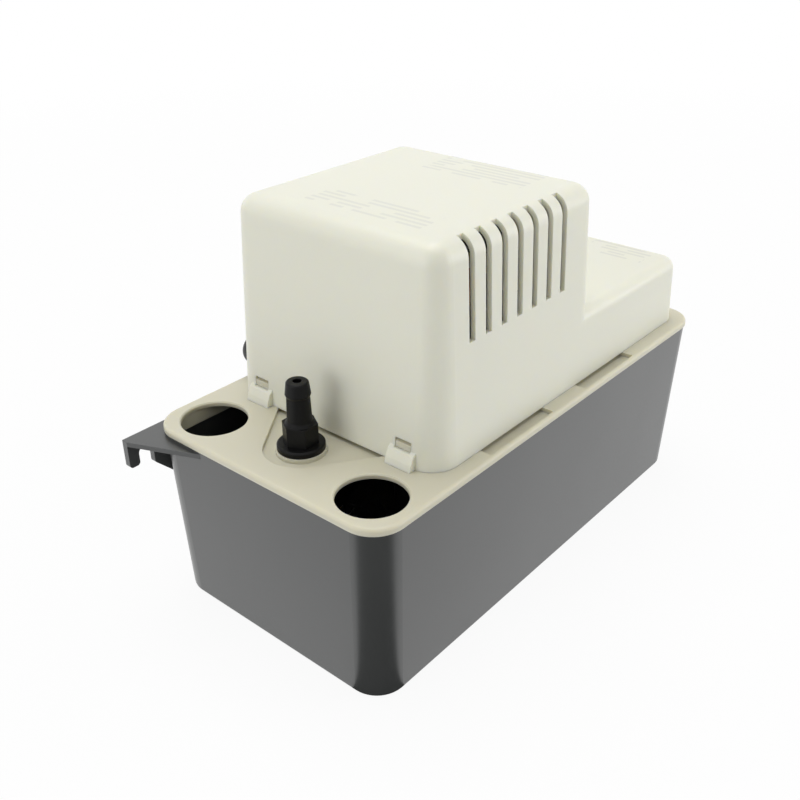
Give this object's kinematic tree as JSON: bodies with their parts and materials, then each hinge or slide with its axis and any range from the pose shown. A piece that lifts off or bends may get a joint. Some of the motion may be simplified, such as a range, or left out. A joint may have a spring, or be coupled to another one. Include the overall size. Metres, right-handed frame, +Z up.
{
  "type": "condensate pump",
  "caption": "Small tank-type condensate pump: rectangular reservoir with hanger ears, deck with drain inlets and barbed outlet, vented motor cover, centrifugal pump and float switch inside.",
  "frame": {"origin": "middle of the tank's flat foot", "axes": "+X along the tank away from the drain inlets, +Y towards the wall that the hanger ears rest on, +Z up"},
  "size_m": [0.2778, 0.1349, 0.1778],
  "materials": {
    "tank_plastic": "moulded dark grey, fine grain",
    "deck_plastic": "moulded cream, satin",
    "cover_plastic": "moulded cream, satin",
    "black_nylon": "moulded black nylon",
    "black_rubber": "matt rubber",
    "spring_steel": "drawn wire",
    "screw_steel": "zinc plated",
    "shaft_steel": "ground",
    "lamination_steel": "stacked sheet, oiled",
    "die_cast": "as cast",
    "winding": "enamelled copper wire",
    "bronze": "sintered bronze",
    "pump_plastic": "moulded dark grey",
    "white_plastic": "moulded white",
    "switch_plastic": "moulded black",
    "zinc_sheet": "zinc plated sheet",
    "foam": "blow-moulded white"
  },
  "bodies": {
    "tank": {"tank": "tank_plastic"},
    "pump_head": {"deck": "deck_plastic", "motor_cover": "cover_plastic", "cord_gland": "black_nylon", "gland_nut": "black_nylon", "valve_seat": "black_nylon", "valve_body": "black_nylon", "valve_o_ring": "black_rubber", "valve_spring": "spring_steel", "volute_case": "pump_plastic", "inlet_plate": "pump_plastic", "pump_column": "pump_plastic", "column_screws": "screw_steel", "discharge_tube": "black_rubber", "tube_clamps": "spring_steel", "lower_endbell": "die_cast", "upper_endbell": "die_cast", "lower_bearing": "bronze", "upper_bearing": "bronze", "stator_core": "lamination_steel", "lower_winding": "winding", "upper_winding": "winding", "motor_screws": "screw_steel", "float_pivot_pin": "shaft_steel", "run_switch": "switch_plastic", "safety_switch": "switch_plastic", "switch_bracket": "zinc_sheet", "switch_screws": "screw_steel"},
    "rotor": {"motor_shaft": "shaft_steel", "impeller": "white_plastic", "rotor_core": "lamination_steel", "cooling_fan": "pump_plastic", "shaft_slinger": "black_rubber"},
    "float": {"float_arm": "white_plastic", "float_body": "foam", "float_screw": "screw_steel"},
    "push_rod": {"push_rod": "white_plastic"},
    "run_lever": {"run_switch_lever": "spring_steel"},
    "safety_lever": {"safety_switch_lever": "spring_steel"},
    "poppet": {"valve_poppet": "white_plastic"}
  },
  "joints": [
    {"name": "deck_lift", "type": "slide", "parent": "tank", "child": "pump_head", "axis": [0, 0, 1], "range_m": [0, 0.085]},
    {"name": "rotor_spin", "type": "hinge", "parent": "pump_head", "child": "rotor", "pos_m": [-0.025, 0, 0.13], "axis": [0, 0, 1], "continuous": true},
    {"name": "float_swing", "type": "hinge", "parent": "pump_head", "child": "float", "pos_m": [0.026, 0, 0.058], "axis": [0, -1, 0], "range_deg": [0, 20]},
    {"name": "push_rod_slide", "type": "slide", "parent": "pump_head", "child": "push_rod", "axis": [0, 0, 1], "range_m": [0, 0.0047]},
    {"name": "run_lever_swing", "type": "hinge", "parent": "pump_head", "child": "run_lever", "pos_m": [0.021, -0.00535, 0.1], "axis": [0, -1, 0], "range_deg": [0, 15]},
    {"name": "safety_lever_swing", "type": "hinge", "parent": "pump_head", "child": "safety_lever", "pos_m": [0.021, 0.00535, 0.1], "axis": [0, -1, 0], "range_deg": [0, 15]},
    {"name": "poppet_lift", "type": "slide", "parent": "pump_head", "child": "poppet", "axis": [0, 0, 1], "range_m": [0, 0.0025], "stiffness_N_per_m": 60, "springref_m": -0.002, "deforming": ["valve_spring"]}
  ],
  "couplings": [
    {"joint": "push_rod_slide", "follows": "float_swing", "m_per_rad": 0.013436},
    {"joint": "run_lever_swing", "follows": "float_swing", "ratio": 0.749},
    {"joint": "safety_lever_swing", "follows": "float_swing", "ratio": 0.749}
  ]
}
